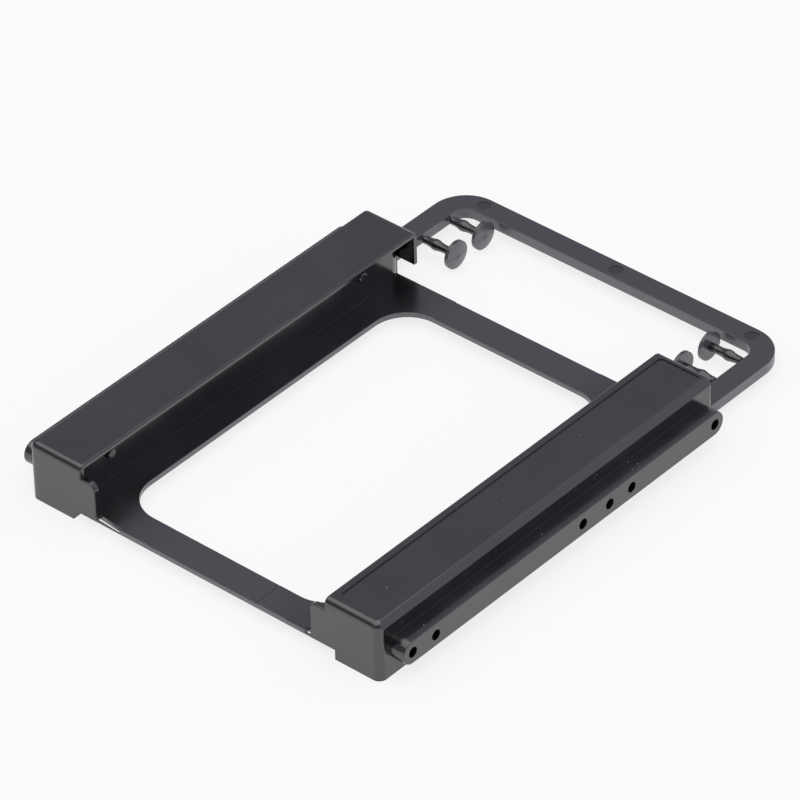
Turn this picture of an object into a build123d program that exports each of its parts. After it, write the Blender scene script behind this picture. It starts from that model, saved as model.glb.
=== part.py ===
from build123d import *
import math
import os

# Adapter bracket that carries a small drive in a wide drive bay, moulded in one piece.
# Two hollow channels hold the drive between them, and a thin plate with a large opening joins them.
# Each channel has a side rail with screw holes, and a runner loop at the rear carries four push pins.
# Millimetres, +Z up, +Y to the rear. It is drawn with y = 0 at the front face and moved at the end.

# The bay that the bracket fits
BAY_WIDTH = 101.6
BAY_HOLE_HEIGHT = 6.7
BAY_LONG_PITCH = 60.0
BAY_SHORT_PITCH = 41.6

# The small drive that it carries, with its upper face under the roof lips
DRIVE_WIDTH = 69.85
DRIVE_LENGTH = 100.45
DRIVE_HEIGHT = 9.5
DRIVE_HOLE_PITCH = 76.6
DRIVE_HOLE_TO_REAR = 14.0
DRIVE_HOLE_BELOW_TOP = 3.0
SIDE_CLEARANCE = 0.125
END_CLEARANCE = 0.125
HEIGHT_CLEARANCE = 0.1

# Walls
ROOF = 1.0
FRONT_WALL = 1.3
REAR_WALL = 1.2
INNER_WALL = 1.2
OUTER_WALL = 1.2
PLATE = 1.2
FOOT_HEIGHT = 2.4

# Channels
LIP_OVERHANG = 2.5
LIP_RADIUS = 0.45
ROOF_EDGE_RADIUS = 1.5
SHOULDER_FLAT_FROM = 30.0
FRONT_CORNER_RADIUS = 1.8
REAR_CORNER_RADIUS = 1.5
REAR_POCKET = 1.2
REAR_POCKET_RADIUS = 3.0
REAR_LIP_REACH = 3.4
REAR_LIP_HEIGHT = 2.6

# Front end stops
STOP_REACH = 6.3
STOP_BELOW_ROOF = 2.9
STOP_CORNER_RADIUS = 1.6
STOP_EDGE_RADIUS = 0.3
SLIT_LENGTH = 6.4
SLIT_WIDE_END = 0.9
SLIT_NARROW_END = 0.25
SLIT_BAR = 0.3
SLIT_BAR_HIGH_END = 0.6
SLIT_BAR_LOW_END = 0.1
SLIT_FLASH_FROM_STOP = 1.6
SLIT_FLASH_BELOW_TOP = 0.12

# Side rails and their screw holes
RAIL_PROJECTION = 4.0
RAIL_HEIGHT = 5.5
RAIL_EDGE_RADIUS = 0.2
RAIL_HOLE_DIAMETER = 2.4
FIRST_PAIR_START = 5.3
SECOND_PAIR_START = 12.2
LAST_HOLE_FROM_REAR = 4.6
SCREW_DEPTH = 9.0

# Locating studs that enter the drive's side holes
STUD_DIAMETER = 2.4
STUD_LENGTH = 1.0
STUD_EDGE_RADIUS = 0.4

# Plate
SIDE_RIM = 6.8
STRAP = 7.2
OPENING_RADIUS = 8.5
OPENING_EDGE_RADIUS = 0.1
PLATE_REAR_GAP = 1.8
STRAP_STEP = 0.1
STEP_GROOVE = 0.28
STEP_GROOVE_DEPTH = 0.1
FRONT_STEP_SPAN = 28.8
REAR_STEP_SPAN = 39.0

# Shallow bare panel in the right-hand roof
PANEL_DEPTH = 0.3
PANEL_INSET = 1.7
PANEL_FRONT_INSET = 2.7
PANEL_RADIUS = 1.0

# Runner loop
RUNNER_SETBACK = 2.0
RUNNER_WIDTH = 5.1
RUNNER_THICKNESS = 2.4
RUNNER_REACH = 28.0
RUNNER_OUTER_RADIUS = 8.5
RUNNER_EDGE_RADIUS = 0.15
EJECTOR_DIAMETER = 3.2
EJECTOR_DEPTH = 0.2
EJECTOR_SPACING = 36.3

# Push pins
PIN_ROW_FROM_CROSSBAR = 4.4
PIN_PITCH = 8.8
PIN_HEAD_DIAMETER = 6.5
PIN_HEAD_RIM = 0.8
PIN_HEAD_DOME = 0.5
PIN_SHANK_RADIUS = 0.94
PIN_SHANK_LENGTH = 2.9
PIN_BULGE_RADIUS = 1.27
PIN_BULGE_LENGTH = 4.1
PIN_TIP_RADIUS = 0.92
PIN_TIP_LENGTH = 1.3
PIN_GATE_RADIUS = 0.5
PIN_GATE_LENGTH = 0.4

# Places that follow from the sizes above
POCKET_LENGTH = DRIVE_LENGTH + 2 * END_CLEARANCE
LENGTH = FRONT_WALL + POCKET_LENGTH + REAR_WALL
PLATE_TOP = FOOT_HEIGHT + PLATE
DRIVE_TOP = PLATE_TOP + DRIVE_HEIGHT
ROOF_UNDERSIDE = DRIVE_TOP + HEIGHT_CLEARANCE
HEIGHT = ROOF_UNDERSIDE + ROOF
WALL_FACE = DRIVE_WIDTH / 2 + SIDE_CLEARANCE
LIP_EDGE = WALL_FACE - LIP_OVERHANG
RAIL_FACE = BAY_WIDTH / 2
OUTER_FACE = RAIL_FACE - RAIL_PROJECTION
REAR_STOP = LENGTH - REAR_WALL
BOX_END = REAR_STOP - REAR_POCKET
PLATE_END = REAR_STOP - PLATE_REAR_GAP
STOP_EDGE = WALL_FACE - STOP_REACH
STOP_TOP = HEIGHT - STOP_BELOW_ROOF
OPENING_HALF = WALL_FACE - SIDE_RIM
RUNNER_OUTER = OUTER_FACE - RUNNER_SETBACK
RUNNER_INNER = RUNNER_OUTER - RUNNER_WIDTH
RUNNER_END = LENGTH + RUNNER_REACH
CROSSBAR_FACE = RUNNER_END - RUNNER_WIDTH
RUNNER_TOP = FOOT_HEIGHT + RUNNER_THICKNESS
SHORT_PAIR_START = LENGTH - LAST_HOLE_FROM_REAR - BAY_SHORT_PITCH
RAIL_HOLE_PLACES = (
    FIRST_PAIR_START,
    SECOND_PAIR_START,
    SHORT_PAIR_START,
    FIRST_PAIR_START + BAY_LONG_PITCH,
    SECOND_PAIR_START + BAY_LONG_PITCH,
    SHORT_PAIR_START + BAY_SHORT_PITCH,
)

# How a cylinder stands on its place
FROM_BASE = (Align.CENTER, Align.CENTER, Align.MIN)
FROM_TOP = (Align.CENTER, Align.CENTER, Align.MAX)


def block(x0, x1, y0, y1, z0, z1):
    """A box between two opposite corners."""
    return Pos(x0, y0, z0) * Box(x1 - x0, y1 - y0, z1 - z0, align=Align.MIN)


def area(x0, x1, y0, y1):
    """A flat rectangle between two opposite corners, in plan."""
    return Pos(x0, y0) * Rectangle(x1 - x0, y1 - y0, align=Align.MIN)


def slab(face, z0, z1):
    """A plan outline raised from one height to another."""
    return extrude(Pos(0, 0, z0) * face, z1 - z0)


def corner(face, x, y):
    """The vertex of a plan outline at a given place."""
    return face.vertices().sort_by_distance((x, y, 0))[0]


def shoulder_cut():
    """Wedge that planes the outer roof edge flat, from part of the way round it to the outer wall."""
    turn = math.radians(SHOULDER_FLAT_FROM)
    inward = ROOF_EDGE_RADIUS * (1 - math.sin(turn))
    down = ROOF_EDGE_RADIUS * (1 - math.cos(turn))
    high = Vector(OUTER_FACE - inward, HEIGHT - down)
    low = Vector(OUTER_FACE, HEIGHT - ROOF_EDGE_RADIUS)
    outside = Vector(OUTER_FACE + ROOF_EDGE_RADIUS, HEIGHT + ROOF_EDGE_RADIUS)
    along = low - high
    wedge = make_face(Polyline(high - along, outside, low + along, close=True))
    return extrude(Plane.XZ * wedge, -LENGTH)


def channel_block():
    """Outer form of the right-hand channel and its lip, with the rounded roof edges."""
    plan = area(LIP_EDGE, OUTER_FACE, 0, LENGTH)
    plan = fillet(corner(plan, OUTER_FACE, 0), FRONT_CORNER_RADIUS)
    plan = fillet(corner(plan, OUTER_FACE, LENGTH), REAR_CORNER_RADIUS)
    solid = slab(plan, 0, HEIGHT)
    roof_edges = solid.faces().sort_by(Axis.Z)[-1].edges().sort_by(Axis.X)
    solid = fillet(roof_edges[1:], ROOF_EDGE_RADIUS)
    lip_edge = solid.faces().sort_by(Axis.Z)[-1].edges().sort_by(Axis.X)[0]
    return fillet(lip_edge, LIP_RADIUS) - shoulder_cut()


def drive_side_space():
    """Space under the lip, with the pocket that runs outward behind the channel's rounded rear corner."""
    pocket_side = OUTER_FACE - OUTER_WALL
    space = area(LIP_EDGE - LIP_OVERHANG, WALL_FACE, FRONT_WALL, REAR_STOP)
    space += area(LIP_EDGE, pocket_side, BOX_END, REAR_STOP)
    space = fillet(corner(space, WALL_FACE, BOX_END), REAR_POCKET_RADIUS)
    return slab(space, 0, ROOF_UNDERSIDE)


def channel():
    """Right-hand channel: roof with lip, two side walls, end walls, hollow and open below."""
    solid = channel_block() - drive_side_space()
    solid -= block(0, WALL_FACE, 0, FRONT_WALL, 0, FOOT_HEIGHT)
    lip_end = WALL_FACE + REAR_LIP_REACH
    solid -= block(0, lip_end, REAR_STOP, LENGTH, 0, PLATE_TOP + REAR_LIP_HEIGHT)
    hollow = area(WALL_FACE + INNER_WALL, OUTER_FACE - OUTER_WALL, FRONT_WALL, BOX_END - INNER_WALL)
    bend = corner(hollow, WALL_FACE + INNER_WALL, BOX_END - INNER_WALL)
    hollow = fillet(bend, REAR_POCKET_RADIUS - INNER_WALL)
    return solid - slab(hollow, 0, ROOF_UNDERSIDE)


def end_stop():
    """Front stop that reaches inward, flush with the channel's front wall, with its free edges rounded."""
    face = area(STOP_EDGE, WALL_FACE + INNER_WALL, FOOT_HEIGHT, STOP_TOP)
    face = fillet(corner(face, STOP_EDGE, STOP_TOP), STOP_CORNER_RADIUS)
    solid = extrude(Plane.XZ * face, -FRONT_WALL)
    outline = solid.faces().sort_by(Axis.Y)[0].edges()
    free_edges = outline.sort_by(Axis.X)[:-1].sort_by(Axis.Z)[1:]
    return fillet(free_edges, STOP_EDGE_RADIUS)


def rail():
    """Side rail with round ends, each end about its outermost screw hole."""
    first, last = min(RAIL_HOLE_PLACES), max(RAIL_HOLE_PLACES)
    outline = SlotCenterToCenter(last - first, RAIL_HEIGHT)
    middle = (OUTER_FACE - OUTER_WALL, (first + last) / 2, BAY_HOLE_HEIGHT)
    seat = Plane(middle, x_dir=(0, 1, 0), z_dir=(1, 0, 0))
    solid = extrude(seat * outline, RAIL_PROJECTION + OUTER_WALL)
    return fillet(solid.faces().sort_by(Axis.X)[-1].edges(), RAIL_EDGE_RADIUS)


def rail_holes():
    """Screw holes through the rail into the channel's hollow, with room for the screw past the end wall."""
    hole = Rot(0, 90, 0) * Cylinder(RAIL_HOLE_DIAMETER / 2, SCREW_DEPTH, align=FROM_TOP)
    return [Pos(RAIL_FACE, place, BAY_HOLE_HEIGHT) * hole for place in RAIL_HOLE_PLACES]


def studs():
    """Studs on the inner wall, one for each hole in the drive's side."""
    body = Cylinder(STUD_DIAMETER / 2, STUD_LENGTH + INNER_WALL, align=FROM_BASE)
    body = fillet(body.edges().sort_by(Axis.Z)[-1], STUD_EDGE_RADIUS)
    rear = REAR_STOP - END_CLEARANCE - DRIVE_HOLE_TO_REAR
    height = DRIVE_TOP - DRIVE_HOLE_BELOW_TOP
    root = WALL_FACE + INNER_WALL
    return [Pos(root, y, height) * Rot(0, -90, 0) * body for y in (rear - DRIVE_HOLE_PITCH, rear)]


def side():
    """Everything on the right-hand side that the left-hand side mirrors."""
    solid = channel() + end_stop() + rail() + studs()
    return solid - rail_holes()


def roof_panel():
    """Shallow panel sunk in the right-hand roof, inside the rounded edges."""
    outline = area(LIP_EDGE + PANEL_INSET, OUTER_FACE - PANEL_INSET, PANEL_FRONT_INSET, LENGTH - PANEL_INSET)
    outline = fillet(outline.vertices(), PANEL_RADIUS)
    return slab(outline, HEIGHT - PANEL_DEPTH, HEIGHT)


def slit(sign):
    """Tapering slit in the plate beside an end stop, behind a thin low bar that tapers the same way."""
    wide = sign * STOP_EDGE
    narrow = sign * (STOP_EDGE - SLIT_LENGTH)
    slot = Polyline(
        (wide, SLIT_BAR),
        (wide, SLIT_BAR + SLIT_WIDE_END),
        (narrow, SLIT_BAR + SLIT_NARROW_END),
        (narrow, SLIT_BAR),
        close=True,
    )
    above_bar = Polyline(
        (wide, FOOT_HEIGHT + SLIT_BAR_HIGH_END),
        (wide, PLATE_TOP),
        (narrow, PLATE_TOP),
        (narrow, FOOT_HEIGHT + SLIT_BAR_LOW_END),
        close=True,
    )
    cut = slab(make_face(slot), FOOT_HEIGHT, PLATE_TOP)
    return cut + extrude(Plane.XZ * make_face(above_bar), -SLIT_BAR)


def slit_flash():
    """Flash that fills the right-hand slit almost to its top, apart from the wide end beside the stop."""
    narrow = STOP_EDGE - SLIT_LENGTH
    wide = STOP_EDGE - SLIT_FLASH_FROM_STOP
    rear = SLIT_BAR + SLIT_WIDE_END
    return block(narrow, wide, 0, rear, FOOT_HEIGHT, PLATE_TOP - SLIT_FLASH_BELOW_TOP)


def step_groove(floor):
    """Fine groove in the front strap, along the right-hand end of its shallow step."""
    edge = FRONT_STEP_SPAN / 2
    return block(edge - STEP_GROOVE, edge, 0, STRAP, floor - STEP_GROOVE_DEPTH, floor)


def plate():
    """Plate between the channels: a rim about a large rounded opening, with shallow steps in its straps."""
    opening = area(-OPENING_HALF, OPENING_HALF, STRAP, PLATE_END - STRAP)
    opening = fillet(opening.vertices(), OPENING_RADIUS)
    reach = WALL_FACE + INNER_WALL
    solid = slab(area(-reach, reach, 0, PLATE_END) - opening, FOOT_HEIGHT, PLATE_TOP)
    top_rims = solid.faces().sort_by(Axis.Z)[-1].inner_wires()
    solid = fillet(top_rims.edges(), OPENING_EDGE_RADIUS)
    step_floor = PLATE_TOP - STRAP_STEP
    solid -= block(-FRONT_STEP_SPAN / 2, FRONT_STEP_SPAN / 2, 0, STRAP, step_floor, PLATE_TOP)
    rear_strap = PLATE_END - STRAP
    solid -= block(-REAR_STEP_SPAN / 2, REAR_STEP_SPAN / 2, rear_strap, PLATE_END, step_floor, PLATE_TOP)
    solid -= step_groove(step_floor)
    solid -= [slit(1), slit(-1)]
    return solid + slit_flash()


def runner():
    """Loop behind the bracket, with round ejector marks along its cross-bar."""
    outer = area(-RUNNER_OUTER, RUNNER_OUTER, REAR_STOP, RUNNER_END)
    outer_corners = [corner(outer, -RUNNER_OUTER, RUNNER_END), corner(outer, RUNNER_OUTER, RUNNER_END)]
    outer = fillet(outer_corners, RUNNER_OUTER_RADIUS)
    inner = area(-RUNNER_INNER, RUNNER_INNER, REAR_STOP, CROSSBAR_FACE)
    inner_corners = [corner(inner, -RUNNER_INNER, CROSSBAR_FACE), corner(inner, RUNNER_INNER, CROSSBAR_FACE)]
    inner = fillet(inner_corners, RUNNER_OUTER_RADIUS - RUNNER_WIDTH)
    solid = slab(outer - inner, FOOT_HEIGHT, RUNNER_TOP)
    solid = fillet(solid.faces().sort_by(Axis.Z)[-1].edges(), RUNNER_EDGE_RADIUS)
    mark = Cylinder(EJECTOR_DIAMETER / 2, EJECTOR_DEPTH, align=FROM_TOP)
    middle = (CROSSBAR_FACE + RUNNER_END) / 2
    return solid - [Pos(x, middle, RUNNER_TOP) * mark for x in (-EJECTOR_SPACING, 0, EJECTOR_SPACING)]


def push_pin():
    """One push pin along +Z: gate, rounded tip, bulge, shank and domed head, all turned about its axis."""
    tip = PIN_GATE_LENGTH
    tip_side = tip + PIN_TIP_RADIUS - PIN_GATE_RADIUS
    bulge = tip + PIN_TIP_LENGTH
    shank = bulge + PIN_BULGE_LENGTH
    head = shank + PIN_SHANK_LENGTH
    rim = head + PIN_HEAD_RIM
    apex = rim + PIN_HEAD_DOME
    head_radius = PIN_HEAD_DIAMETER / 2
    bulge_middle = (bulge + shank) / 2
    profile = Polyline((0, -PIN_GATE_RADIUS), (PIN_GATE_RADIUS, -PIN_GATE_RADIUS), (PIN_GATE_RADIUS, tip))
    profile += TangentArc((PIN_GATE_RADIUS, tip), (PIN_TIP_RADIUS, tip_side), tangent=(1, 0))
    profile += Line((PIN_TIP_RADIUS, tip_side), (PIN_TIP_RADIUS, bulge))
    profile += Spline(
        (PIN_TIP_RADIUS, bulge),
        (PIN_BULGE_RADIUS, bulge_middle),
        (PIN_SHANK_RADIUS, shank),
        tangents=((0, 1), (0, 1)),
    )
    profile += Polyline(
        (PIN_SHANK_RADIUS, shank),
        (PIN_SHANK_RADIUS, head),
        (head_radius, head),
        (head_radius, rim),
    )
    profile += TangentArc((0, apex), (head_radius, rim), tangent=(1, 0))
    profile += Line((0, apex), (0, -PIN_GATE_RADIUS))
    return revolve(Plane.XZ * make_face(profile), Axis.Z)


def push_pins():
    """Four pins on the legs of the runner, in two rows, with their heads toward the middle of the loop."""
    pin = push_pin()
    height = FOOT_HEIGHT + RUNNER_THICKNESS / 2
    rear_row = CROSSBAR_FACE - PIN_ROW_FROM_CROSSBAR
    placed = []
    for y in (rear_row - PIN_PITCH, rear_row):
        placed.append(Pos(RUNNER_INNER, y, height) * Rot(0, -90, 0) * pin)
        placed.append(Pos(-RUNNER_INNER, y, height) * Rot(0, 90, 0) * pin)
    return placed


def bracket():
    """The whole moulding, with the origin under the middle of its outline."""
    right = side()
    left = mirror(right, Plane.YZ)
    solid = (right - roof_panel()) + left + plate() + runner() + push_pins()
    return Pos(0, -RUNNER_END / 2, 0) * solid


os.makedirs("parts", exist_ok=True)
export_step(bracket(), "parts/adapter_bracket.step")
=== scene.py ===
import logging
import math
from collections.abc import Mapping
from dataclasses import dataclass, field
from enum import Enum
from typing import Any

import bmesh
import bpy
from mathutils import Matrix, Vector


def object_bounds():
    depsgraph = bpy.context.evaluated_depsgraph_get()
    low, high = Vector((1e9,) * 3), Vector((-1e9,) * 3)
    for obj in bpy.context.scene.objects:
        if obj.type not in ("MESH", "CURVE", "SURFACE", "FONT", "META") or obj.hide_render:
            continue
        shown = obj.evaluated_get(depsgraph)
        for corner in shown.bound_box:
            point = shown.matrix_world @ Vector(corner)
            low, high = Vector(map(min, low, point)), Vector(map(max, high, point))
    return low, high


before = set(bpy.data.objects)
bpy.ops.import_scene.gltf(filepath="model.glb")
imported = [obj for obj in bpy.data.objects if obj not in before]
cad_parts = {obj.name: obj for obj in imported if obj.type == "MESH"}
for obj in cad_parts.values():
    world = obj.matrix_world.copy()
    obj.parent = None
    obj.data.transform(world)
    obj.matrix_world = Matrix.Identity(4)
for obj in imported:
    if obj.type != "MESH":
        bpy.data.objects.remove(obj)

# Dressed scene of a drive bay adapter bracket: one black moulding on a white studio floor.
# Lengths are millimetres where a name ends in _mm, and metres everywhere else but in the camera's lens.

LOG = logging.getLogger("bracket_scene")
CAD_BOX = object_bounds()
NODE = "adapter_bracket"
MM = 0.001

# How far the bracket reaches to each side and to the rear of the frame's origin.
SIDE_MM = CAD_BOX[1][0] / MM
REAR_MM = CAD_BOX[1][1] / MM

# The curve between sRGB and linear light.
SRGB_KNEE = 0.04045
SRGB_SLOPE = 12.92
SRGB_OFFSET = 0.055
SRGB_POWER = 2.4


class Channel(Enum):
    """Sockets of a Principled shader that a finish drives with a pattern."""

    COLOUR = "Base Color"
    ROUGHNESS = "Roughness"
    NORMAL = "Normal"


def linear(hex_colour: str) -> tuple[float, float, float, float]:
    """Turns an sRGB hex colour into linear RGBA.

    Args:
        hex_colour: six hex digits after a hash sign.

    Returns:
        Red, green, blue and an alpha of one, in linear light.
    """
    digits = hex_colour.lstrip("#")
    shares = [int(digits[at:at + 2], 16) / 255 for at in (0, 2, 4)]
    red, green, blue = (
        s / SRGB_SLOPE if s <= SRGB_KNEE else ((s + SRGB_OFFSET) / (1 + SRGB_OFFSET)) ** SRGB_POWER
        for s in shares
    )
    return red, green, blue, 1.0


def per_metre(size_mm: float) -> float:
    """Turns the size of a pattern's features into the pattern's scale.

    Args:
        size_mm: size of one feature.

    Returns:
        Features per metre.
    """
    return 1 / (size_mm * MM)


def add_node(
    tree: bpy.types.NodeTree,
    kind: str,
    settings: Mapping[str, Any] | None = None,
    values: Mapping[str | int, Any] | None = None,
    links: Mapping[str | int, bpy.types.NodeSocket] | None = None,
) -> bpy.types.Node:
    """Adds a node with its settings, socket values and incoming links.

    Args:
        tree: node tree that the node joins.
        kind: Blender's type name of the node.
        settings: properties of the node itself.
        values: default values of input sockets, by name or index.
        links: output sockets that feed input sockets, by name or index.

    Returns:
        The new node.
    """
    node = tree.nodes.new(kind)
    for name, value in (settings or {}).items():
        setattr(node, name, value)
    for socket, value in (values or {}).items():
        node.inputs[socket].default_value = value
    for socket, source in (links or {}).items():
        tree.links.new(source, node.inputs[socket])
    return node


@dataclass(frozen=True)
class PartingLine:
    """Fine dark ridge that the mould's halves leave around each push pin, at the height of its axis.

    The pins hang between the legs of the runner loop.
    """

    height_mm: float = 3.6
    width_mm: float = 0.16
    ridge_mm: float = 0.03
    row_from_rear_mm: float = 14.1
    row_reach_mm: float = 8.5
    leg_from_side_mm: float = 11.4

    def line(self, tree: bpy.types.NodeTree, place: bpy.types.NodeSocket) -> bpy.types.NodeSocket:
        """Draws the line that the ridge follows.

        Args:
            tree: node tree of the material.
            place: object coordinates.

        Returns:
            A mask that is one on the line.
        """
        axes = add_node(tree, "ShaderNodeSeparateXYZ", links={"Vector": place}).outputs
        ranges = (
            (axes["Z"], self.height_mm, self.width_mm / 2),
            (axes["Y"], REAR_MM - self.row_from_rear_mm, self.row_reach_mm),
            (axes["X"], 0.0, SIDE_MM - self.leg_from_side_mm),
        )
        inside = [
            add_node(
                tree,
                "ShaderNodeMath",
                {"operation": "COMPARE"},
                {1: middle_mm * MM, 2: reach_mm * MM},
                {0: axis},
            ).outputs[0]
            for axis, middle_mm, reach_mm in ranges
        ]
        mask = inside[0]
        for other in inside[1:]:
            mask = add_node(
                tree, "ShaderNodeMath", {"operation": "MULTIPLY"}, links={0: mask, 1: other}
            ).outputs[0]
        return mask


@dataclass(frozen=True)
class ThinMasks:
    """Sockets that are one on a kind of thin part and zero elsewhere.

    The plate is its upper face, the dull parts are that face and the loop, the pale parts take painted light
    on the same places and fade into painted shade toward the channels, and the sides, which take a painted
    reflection of the white floor, are the edges of the plate, the loop and the pins' heads.
    """

    plate: bpy.types.NodeSocket
    dull: bpy.types.NodeSocket
    # painted light on the thin parts, fading into painted shade toward the channels
    pale: bpy.types.NodeSocket
    # painted reflection of the white floor on the upright faces of the thin parts
    side: bpy.types.NodeSocket


@dataclass(frozen=True)
class ThinParts:
    """Where the moulding is thin: the straps of the plate, and the runner loop with its pins.

    Painted light makes the thin parts a shade paler than the channels: the level tops of the plate, which
    fade into painted shade toward the channels, and the whole loop. A painted reflection of the white floor
    makes their upright sides paler still. The shanks of the pins, and the round marks that the ejectors
    leave on the loop, keep the finish of the channels. level_from and side_turn are upward shares of a
    surface's normal, which is one on a level face and zero on an upright one.
    """

    plate_below_mm: float = 4.5
    plate_from_side_mm: float = 22.3
    level_from: float = 0.7
    side_turn: tuple[float, float] = (0.85, 0.5)
    # Painted light on the plate's tops is full within the first distance across and gives way to painted
    # shade by the second.
    strap_painted_light_mm: float = 14.0
    strap_painted_shade_mm: float = 27.0
    loop_length_mm: float = 27.9
    shank_from_side_mm: float = 15.6
    shank_from_rear_mm: float = 13.9
    shank_reach_mm: tuple[float, float] = (4.15, 5.8)
    mark_radius_mm: float = 1.6
    mark_from_side_mm: float = 14.5
    mark_from_rear_mm: float = 2.55
    mark_height_mm: float = 4.7

    def masks(
        self, tree: bpy.types.NodeTree, place: bpy.types.NodeSocket, normal: bpy.types.NodeSocket
    ) -> ThinMasks:
        """Works out the masks from the place on the part and the way that its surface faces.

        Args:
            tree: node tree of the material.
            place: object coordinates.
            normal: normal of the surface in object coordinates.

        Returns:
            The masks.
        """
        axes = add_node(tree, "ShaderNodeSeparateXYZ", links={"Vector": place}).outputs
        upward = add_node(tree, "ShaderNodeSeparateXYZ", links={"Vector": normal}).outputs["Z"]
        across = add_node(tree, "ShaderNodeMath", {"operation": "ABSOLUTE"}, links={0: axes["X"]}).outputs[0]
        tilt = add_node(tree, "ShaderNodeMath", {"operation": "ABSOLUTE"}, links={0: upward}).outputs[0]
        from_mark = self._distance_to_marks(tree, place)
        low, level, between, behind, unmarked = (
            add_node(tree, "ShaderNodeMath", {"operation": test}, {1: bound}, {0: value}).outputs[0]
            for test, value, bound in (
                ("LESS_THAN", axes["Z"], self.plate_below_mm * MM),
                ("GREATER_THAN", upward, self.level_from),
                ("LESS_THAN", across, (SIDE_MM - self.plate_from_side_mm) * MM),
                ("GREATER_THAN", axes["Y"], (REAR_MM - self.loop_length_mm) * MM),
                ("GREATER_THAN", from_mark, self.mark_radius_mm * MM),
            )
        )
        # The first blend runs from painted light near the middle to painted shade toward the channels.
        fade, upright = (
            add_node(
                tree,
                "ShaderNodeMapRange",
                {"interpolation_type": "SMOOTHSTEP"},
                {"From Min": none_at, "From Max": full_at},
                {"Value": value},
            ).outputs[0]
            for value, none_at, full_at in (
                (across, self.strap_painted_shade_mm * MM, self.strap_painted_light_mm * MM),
                (tilt, *self.side_turn),
            )
        )
        shank_middle_mm = SIDE_MM - self.shank_from_side_mm, REAR_MM - self.shank_from_rear_mm
        beside, along = (
            add_node(
                tree,
                "ShaderNodeMath",
                {"operation": "COMPARE"},
                {1: middle_mm * MM, 2: reach_mm * MM},
                {0: value},
            ).outputs[0]
            for value, middle_mm, reach_mm in zip((across, axes["Y"]), shank_middle_mm, self.shank_reach_mm)
        )
        shank = add_node(
            tree, "ShaderNodeMath", {"operation": "MULTIPLY"}, links={0: beside, 1: along}
        ).outputs[0]
        bare = add_node(
            tree, "ShaderNodeMath", {"operation": "SUBTRACT", "use_clamp": True}, links={0: behind, 1: shank}
        ).outputs[0]
        plate, loop, middle = (
            add_node(tree, "ShaderNodeMath", {"operation": "MULTIPLY"}, links={0: one, 1: other}).outputs[0]
            for one, other in ((low, level), (bare, unmarked), (low, between))
        )
        # Painted light on the plate's level tops, fading into painted shade toward the channels.
        strap_painted_light = add_node(
            tree, "ShaderNodeMath", {"operation": "MULTIPLY"}, links={0: plate, 1: fade}
        ).outputs[0]
        dull, pale, thin = (
            add_node(tree, "ShaderNodeMath", {"operation": "MAXIMUM"}, links={0: one, 1: other}).outputs[0]
            for one, other in ((plate, loop), (strap_painted_light, loop), (middle, bare))
        )
        # Painted reflection of the white floor on the upright faces of the plate, the loop and the pins'
        # heads.
        side = add_node(
            tree, "ShaderNodeMath", {"operation": "MULTIPLY"}, links={0: thin, 1: upright}
        ).outputs[0]
        return ThinMasks(plate, dull, pale, side)

    def _distance_to_marks(
        self, tree: bpy.types.NodeTree, place: bpy.types.NodeSocket
    ) -> bpy.types.NodeSocket:
        """Measures the distance to the middle of the nearest ejector mark on the loop.

        Args:
            tree: node tree of the material.
            place: object coordinates.

        Returns:
            The distance in metres.
        """
        spacing_mm = SIDE_MM - self.mark_from_side_mm
        row_mm = REAR_MM - self.mark_from_rear_mm
        ways = [
            add_node(
                tree,
                "ShaderNodeVectorMath",
                {"operation": "DISTANCE"},
                {1: (x_mm * MM, row_mm * MM, self.mark_height_mm * MM)},
                {0: place},
            ).outputs["Value"]
            for x_mm in (-spacing_mm, 0.0, spacing_mm)
        ]
        nearest = ways[0]
        for other in ways[1:]:
            nearest = add_node(
                tree, "ShaderNodeMath", {"operation": "MINIMUM"}, links={0: nearest, 1: other}
            ).outputs[0]
        return nearest


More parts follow.
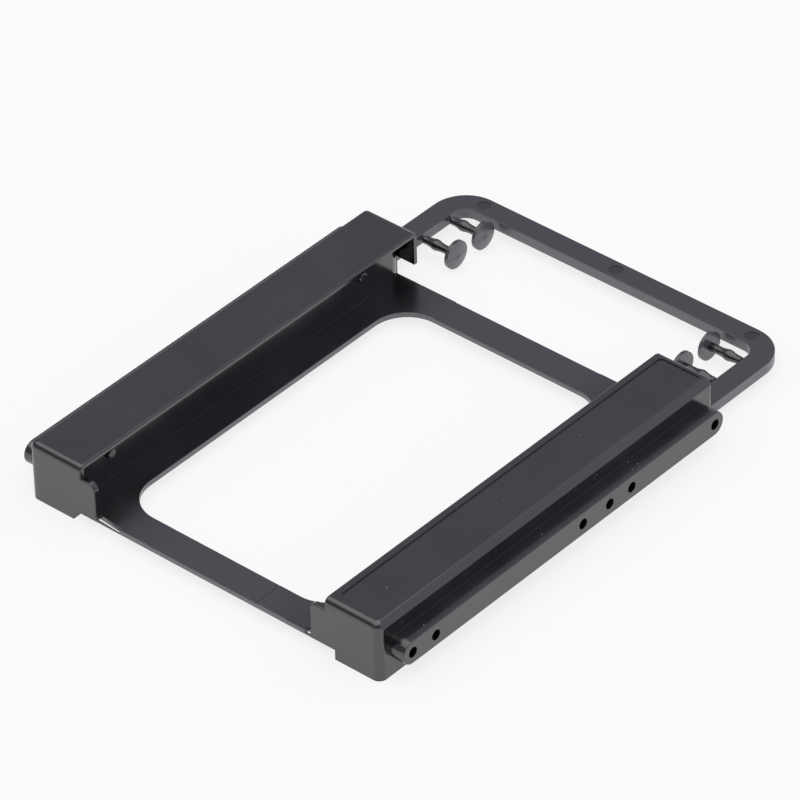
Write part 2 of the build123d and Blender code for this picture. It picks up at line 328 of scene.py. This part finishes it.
@dataclass(frozen=True)
class MouldedPlastic:
    """Black ABS, injection moulded in a polished steel mould.

    The eye sees a deep bluish black with a soft sheen: faint waves from shrinkage, a fine tool grain,
    patches that are a little paler or duller, a hair of light on each edge, a few dark scuffs on the plate,
    and pale specks of dust, most of them on the ledges of the rails. The thin parts are duller. Painted
    light makes the level tops of the plate and the whole loop a shade paler, with painted shade on the plate
    toward the channels, and a painted reflection of the white floor makes the upright sides of the thin
    parts and the pins' heads the palest. The noise that makes the patches lies mostly between noise_low and
    noise_high, and speck_core is the share of a speck's radius within which it is full.
    """

    name: str = "black ABS, injection moulded"
    colour: str = "#16161a"
    # Painted light that makes the thin parts paler:
    thin_painted_light_colour: str = "#2b2b31"
    # painted reflection of the white floor on the thin parts' upright sides:
    side_painted_reflection_colour: str = "#54545b"
    mark_colour: str = "#0c0c0e"
    dust_colour: str = "#c9c9cc"
    index: float = 1.9
    roughness: float = 0.17
    roughness_spread: float = 0.03
    thin_roughness: float = 0.09
    shade_spread: float = 0.5
    edge_mm: float = 0.09
    edge_samples: int = 8
    grain_mm: float = 0.5
    grain_height_mm: float = 0.001
    grain_detail: float = 2.0
    wave_mm: float = 16.0
    wave_height_mm: float = 0.05
    wave_detail: float = 1.0
    patch_mm: float = 14.0
    patch_detail: float = 3.0
    noise_low: float = 0.3
    noise_high: float = 0.7
    speck_core: float = 0.6
    dust_cell_mm: float = 1.8
    dust_radius_mm: float = 0.12
    dust_share: float = 0.04
    ledge_dust_share: float = 0.6
    ledge_from_side_mm: float = 2.1
    ledge_reach_mm: float = 1.8
    scuff_cell_mm: tuple[float, float] = (9.0, 3.2)
    scuff_radius: float = 0.1
    scuff_share: float = 0.4
    scuff_turn: float = 0.75
    thin: ThinParts = field(default_factory=ThinParts)
    parting: PartingLine = field(default_factory=PartingLine)

    def build(self) -> bpy.types.Material:
        """Makes the material.

        Returns:
            A material on Object coordinates, ready for a material slot.
        """
        material = bpy.data.materials.new(self.name)
        material.use_nodes = True
        tree = material.node_tree
        tree.nodes.clear()
        coordinates = add_node(tree, "ShaderNodeTexCoord").outputs
        place = coordinates["Object"]
        masks = self.thin.masks(tree, place, coordinates["Normal"])
        patch = add_node(
            tree,
            "ShaderNodeTexNoise",
            values={"Scale": per_metre(self.patch_mm), "Detail": self.patch_detail},
            links={"Vector": place},
        ).outputs[0]
        shader = add_node(
            tree,
            "ShaderNodeBsdfPrincipled",
            values={"IOR": self.index},
            links={
                Channel.COLOUR.value: self._colour(tree, place, patch, masks),
                Channel.ROUGHNESS.value: self._roughness(tree, patch, masks),
                Channel.NORMAL.value: self._relief(tree, place),
            },
        )
        add_node(tree, "ShaderNodeOutputMaterial", links={"Surface": shader.outputs["BSDF"]})
        return material

    def _colour(
        self,
        tree: bpy.types.NodeTree,
        place: bpy.types.NodeSocket,
        patch: bpy.types.NodeSocket,
        masks: ThinMasks,
    ) -> bpy.types.NodeSocket:
        """Patchy black, with the painted light on the thin parts, the painted reflection on their sides, the
        scuffs and lines and the dust laid over it in turn.

        Args:
            tree: node tree of the material.
            place: object coordinates.
            patch: broad noise from 0 to 1.
            masks: where the thin parts are.

        Returns:
            The colour socket.
        """
        drift = add_node(
            tree,
            "ShaderNodeMapRange",
            values={
                "From Min": self.noise_low,
                "From Max": self.noise_high,
                "To Min": 1 - self.shade_spread,
                "To Max": 1 + self.shade_spread,
            },
            links={"Value": patch},
        ).outputs[0]
        colour = add_node(
            tree,
            "ShaderNodeMix",
            {"data_type": "RGBA", "blend_type": "MULTIPLY"},
            {0: 1.0, 6: linear(self.colour)},
            {7: drift},
        ).outputs[2]
        layers = (
            # painted light on the thin parts, with painted shade toward the channels
            (masks.pale, self.thin_painted_light_colour),
            # painted reflection of the white floor on the upright sides of the thin parts
            (masks.side, self.side_painted_reflection_colour),
            (self._scuffs(tree, place, masks), self.mark_colour),
            (self.parting.line(tree, place), self.mark_colour),
            (self._dust(tree, place), self.dust_colour),
        )
        for mask, above in layers:
            colour = add_node(
                tree, "ShaderNodeMix", {"data_type": "RGBA"}, {7: linear(above)}, {0: mask, 6: colour}
            ).outputs[2]
        return colour

    def _scuffs(
        self, tree: bpy.types.NodeTree, place: bpy.types.NodeSocket, masks: ThinMasks
    ) -> bpy.types.NodeSocket:
        """Short strokes on the plate, long one way and thin the other.

        Args:
            tree: node tree of the material.
            place: object coordinates.
            masks: where the thin parts are.

        Returns:
            A mask that is one on a scuff.
        """
        length_mm, width_mm = self.scuff_cell_mm
        stretched = add_node(
            tree,
            "ShaderNodeMapping",
            {"vector_type": "TEXTURE"},
            {"Rotation": (0, 0, self.scuff_turn), "Scale": (length_mm * MM, width_mm * MM, width_mm * MM)},
            {"Vector": place},
        ).outputs[0]
        share = add_node(
            tree, "ShaderNodeMath", {"operation": "MULTIPLY"}, {1: self.scuff_share}, {0: masks.plate}
        ).outputs[0]
        return self._specks(tree, stretched, 1.0, self.scuff_radius, share)

    def _dust(self, tree: bpy.types.NodeTree, place: bpy.types.NodeSocket) -> bpy.types.NodeSocket:
        """Specks of dust, sparse all over and closer together on the ledges of the rails.

        Args:
            tree: node tree of the material.
            place: object coordinates.

        Returns:
            A mask that is one on a speck.
        """
        axes = add_node(tree, "ShaderNodeSeparateXYZ", links={"Vector": place}).outputs
        across = add_node(tree, "ShaderNodeMath", {"operation": "ABSOLUTE"}, links={0: axes["X"]}).outputs[0]
        ledge = add_node(
            tree,
            "ShaderNodeMath",
            {"operation": "COMPARE"},
            {1: (SIDE_MM - self.ledge_from_side_mm) * MM, 2: self.ledge_reach_mm * MM},
            {0: across},
        ).outputs[0]
        share = add_node(
            tree,
            "ShaderNodeMath",
            {"operation": "MULTIPLY_ADD"},
            {1: self.ledge_dust_share - self.dust_share, 2: self.dust_share},
            {0: ledge},
        ).outputs[0]
        radius = self.dust_radius_mm / self.dust_cell_mm
        return self._specks(tree, place, per_metre(self.dust_cell_mm), radius, share)

    def _specks(
        self,
        tree: bpy.types.NodeTree,
        place: bpy.types.NodeSocket,
        scale: float,
        radius: float,
        share: bpy.types.NodeSocket,
    ) -> bpy.types.NodeSocket:
        """Round specks at the middles of some of the cells that fill space.

        Args:
            tree: node tree of the material.
            place: coordinates that the cells fill.
            scale: cells per unit of those coordinates.
            radius: radius of a speck, as a share of a cell.
            share: share of the cells that have a speck.

        Returns:
            A mask that is one on a speck.
        """
        cells = add_node(
            tree, "ShaderNodeTexVoronoi", values={"Scale": scale, "Randomness": 1.0}, links={"Vector": place}
        ).outputs
        near = add_node(
            tree,
            "ShaderNodeMapRange",
            values={"From Min": radius, "From Max": self.speck_core * radius},
            links={"Value": cells["Distance"]},
        ).outputs[0]
        drawn = add_node(tree, "ShaderNodeSeparateColor", links={"Color": cells["Color"]}).outputs["Red"]
        chosen = add_node(
            tree, "ShaderNodeMath", {"operation": "LESS_THAN"}, links={0: drawn, 1: share}
        ).outputs[0]
        return add_node(
            tree, "ShaderNodeMath", {"operation": "MULTIPLY"}, links={0: near, 1: chosen}
        ).outputs[0]

    def _roughness(
        self, tree: bpy.types.NodeTree, patch: bpy.types.NodeSocket, masks: ThinMasks
    ) -> bpy.types.NodeSocket:
        """Roughness that drifts with the patches and is higher on the thin parts.

        Args:
            tree: node tree of the material.
            patch: broad noise from 0 to 1.
            masks: where the thin parts are.

        Returns:
            The roughness socket.
        """
        drift = add_node(
            tree,
            "ShaderNodeMapRange",
            values={
                "From Min": self.noise_low,
                "From Max": self.noise_high,
                "To Min": self.roughness - self.roughness_spread,
                "To Max": self.roughness + self.roughness_spread,
            },
            links={"Value": patch},
        ).outputs[0]
        return add_node(
            tree,
            "ShaderNodeMath",
            {"operation": "MULTIPLY_ADD"},
            {1: self.thin_roughness},
            {0: masks.dull, 2: drift},
        ).outputs[0]

    def _relief(self, tree: bpy.types.NodeTree, place: bpy.types.NodeSocket) -> bpy.types.NodeSocket:
        """Softened edges, then shrinkage waves, the tool grain and the pins' parting line, as one normal.

        Args:
            tree: node tree of the material.
            place: object coordinates.

        Returns:
            The normal socket.
        """
        normal = add_node(
            tree, "ShaderNodeBevel", {"samples": self.edge_samples}, {"Radius": self.edge_mm * MM}
        ).outputs["Normal"]
        wave, grain = (
            add_node(
                tree,
                "ShaderNodeTexNoise",
                values={"Scale": per_metre(size_mm), "Detail": detail},
                links={"Vector": place},
            ).outputs[0]
            for size_mm, detail in ((self.wave_mm, self.wave_detail), (self.grain_mm, self.grain_detail))
        )
        layers = (
            (wave, self.wave_height_mm),
            (grain, self.grain_height_mm),
            (self.parting.line(tree, place), self.parting.ridge_mm),
        )
        for height, depth_mm in layers:
            normal = add_node(
                tree,
                "ShaderNodeBump",
                values={"Strength": 1.0, "Distance": depth_mm * MM},
                links={"Height": height, "Normal": normal},
            ).outputs["Normal"]
        return normal


@dataclass(frozen=True)
class WhiteBoard:
    """Matt white coated board: an even pale sheet that shows only soft shadow."""

    name: str = "white board, matt coated"
    colour: str = "#ffffff"
    roughness: float = 0.9
    white_share: float = 0.8
    white_strength: float = 1.0

    def build(self) -> bpy.types.Material:
        """Makes the material of the studio floor.

        Returns:
            A material that mixes the lit board with plain white for the rays that show it.
        """
        material = bpy.data.materials.new(self.name)
        material.use_nodes = True
        tree = material.node_tree
        tree.nodes.clear()
        lit = add_node(
            tree,
            "ShaderNodeBsdfDiffuse",
            values={"Color": linear(self.colour), "Roughness": self.roughness},
        )
        white = add_node(
            tree,
            "ShaderNodeEmission",
            values={"Color": linear(self.colour), "Strength": self.white_strength},
        )
        rays = add_node(tree, "ShaderNodeLightPath")
        seen = rays.outputs["Is Camera Ray"]
        for other in ("Is Glossy Ray", "Is Transmission Ray"):
            seen = add_node(
                tree, "ShaderNodeMath", {"operation": "MAXIMUM"}, links={0: seen, 1: rays.outputs[other]}
            ).outputs[0]
        share = add_node(
            tree, "ShaderNodeMath", {"operation": "MULTIPLY"}, {1: self.white_share}, {0: seen}
        ).outputs[0]
        surface = add_node(
            tree, "ShaderNodeMixShader", links={0: share, 1: lit.outputs[0], 2: white.outputs[0]}
        )
        add_node(tree, "ShaderNodeOutputMaterial", links={"Surface": surface.outputs[0]})
        return material


@dataclass
class Bracket:
    """The moulding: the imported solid, dressed in its plastic."""

    finish: MouldedPlastic = field(default_factory=MouldedPlastic)

    def dress(self) -> None:
        """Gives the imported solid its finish."""
        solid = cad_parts[NODE]
        plastic = self.finish.build()
        for slot in solid.material_slots:
            slot.material = plastic
        LOG.info("%s: dressed in %s", NODE, plastic.name)


@dataclass
class Floor:
    """Square sheet that the bracket stands on."""

    half_width: float = 6.0
    finish: WhiteBoard = field(default_factory=WhiteBoard)

    def build(self) -> bpy.types.Object:
        """Lays the sheet under the bracket's feet.

        Returns:
            The floor object.
        """
        sheet = bmesh.new()
        bmesh.ops.create_grid(sheet, x_segments=1, y_segments=1, size=self.half_width)
        mesh = bpy.data.meshes.new("studio_floor")
        sheet.to_mesh(mesh)
        sheet.free()
        mesh.materials.append(self.finish.build())
        floor = bpy.data.objects.new("studio_floor", mesh)
        bpy.context.scene.collection.objects.link(floor)
        LOG.info("studio_floor: %.1f m wide", 2 * self.half_width)
        return floor


@dataclass(frozen=True)
class Softbox:
    """Broad square lamp overhead, a little to the front left, that faces the bracket."""

    name: str = "overhead_softbox"
    direction: tuple[float, float, float] = (-0.10, -0.17, 0.98)
    distance: float = 1.5
    width: float = 2.2
    watts: float = 16.0
    colour: str = "#fff9f0"

    def build(self) -> bpy.types.Object:
        """Hangs the lamp.

        Returns:
            The lamp object.
        """
        lamp = bpy.data.lights.new(self.name, "AREA")
        lamp.shape = "SQUARE"
        lamp.size = self.width
        lamp.energy = self.watts
        lamp.color = linear(self.colour)[:3]
        lamp_object = bpy.data.objects.new(self.name, lamp)
        outward = Vector(self.direction).normalized()
        lamp_object.location = outward * self.distance
        lamp_object.rotation_euler = outward.to_track_quat("Z", "Y").to_euler()
        bpy.context.scene.collection.objects.link(lamp_object)
        LOG.info("%s: %.1f W", self.name, self.watts)
        return lamp_object


@dataclass(frozen=True)
class Surroundings:
    """Walls of the studio, as a world: pale behind the bracket, palest to the right, dim on the near side.

    A level is a strength of light. Where one level ends and the next begins is a part of a unit direction.
    """

    colour: str = "#efefff"
    left_level: float = 0.47
    right_level: float = 0.74
    near_level: float = 0.3
    near_until: float = -0.55
    far_from: float = 0.3
    left_until: float = -0.5
    right_from: float = -0.05

    def build(self) -> None:
        """Sets the world of the scene."""
        world = bpy.data.worlds.new("studio_walls")
        world.use_nodes = True
        tree = world.node_tree
        tree.nodes.clear()
        direction = add_node(tree, "ShaderNodeTexCoord").outputs["Generated"]
        axes = add_node(tree, "ShaderNodeSeparateXYZ", links={"Vector": direction}).outputs
        slopes = (
            (axes["X"], (self.left_until, self.right_from), (self.left_level, self.right_level)),
            (axes["Y"], (self.near_until, self.far_from), (0.0, 1.0)),
        )
        far_level, depth = (
            add_node(
                tree,
                "ShaderNodeMapRange",
                {"interpolation_type": "SMOOTHSTEP"},
                {"From Min": ends[0], "From Max": ends[1], "To Min": levels[0], "To Max": levels[1]},
                {"Value": along},
            ).outputs[0]
            for along, ends, levels in slopes
        )
        level = add_node(
            tree, "ShaderNodeMix", {"data_type": "FLOAT"}, {2: self.near_level}, {0: depth, 3: far_level}
        ).outputs[0]
        background = add_node(
            tree, "ShaderNodeBackground", values={"Color": linear(self.colour)}, links={"Strength": level}
        )
        add_node(tree, "ShaderNodeOutputWorld", links={"Surface": background.outputs[0]})
        bpy.context.scene.world = world


@dataclass(frozen=True)
class ViewCamera:
    """Camera with a long product lens, above the front right of the bracket.

    The lens and the sensor are millimetres, as on a camera, and the angles are degrees.
    """

    lens: float = 315.0
    sensor: float = 36.0
    clip_start: float = 0.01
    clip_end: float = 100.0
    azimuth: float = 42.065
    elevation: float = 37.455
    roll: float = -1.796
    distance_mm: float = 1435.879
    aim_mm: tuple[float, float, float] = (-9.879, 5.468, 0.0)

    def build(self) -> bpy.types.Object:
        """Sets up the camera.

        Returns:
            The camera object, made the scene's camera.
        """
        around, above, turn = (math.radians(a) for a in (self.azimuth, self.elevation, self.roll))
        forward = Vector((
            -math.sin(around) * math.cos(above),
            math.cos(around) * math.cos(above),
            -math.sin(above),
        ))
        level_right = Vector((math.cos(around), math.sin(around), 0))
        level_up = level_right.cross(forward)
        right = level_right * math.cos(turn) + level_up * math.sin(turn)
        up = level_up * math.cos(turn) - level_right * math.sin(turn)
        data = bpy.data.cameras.new("view_camera")
        data.sensor_width = self.sensor
        data.lens = self.lens
        data.clip_start = self.clip_start
        data.clip_end = self.clip_end
        camera = bpy.data.objects.new("view_camera", data)
        place = Vector(self.aim_mm) * MM - forward * self.distance_mm * MM
        axes = Matrix((right, up, -forward)).transposed()
        camera.matrix_world = Matrix.Translation(place) @ axes.to_4x4()
        bpy.context.scene.collection.objects.link(camera)
        bpy.context.scene.camera = camera
        return camera


def main() -> None:
    """Builds the scene: the bracket, the floor, the light and the camera."""
    logging.basicConfig(level=logging.INFO, format="%(name)s: %(message)s")
    bpy.context.scene.view_settings.view_transform = "Standard"
    Bracket().dress()
    Floor().build()
    Softbox().build()
    Surroundings().build()
    ViewCamera().build()


if __name__ == "__main__":
    main()
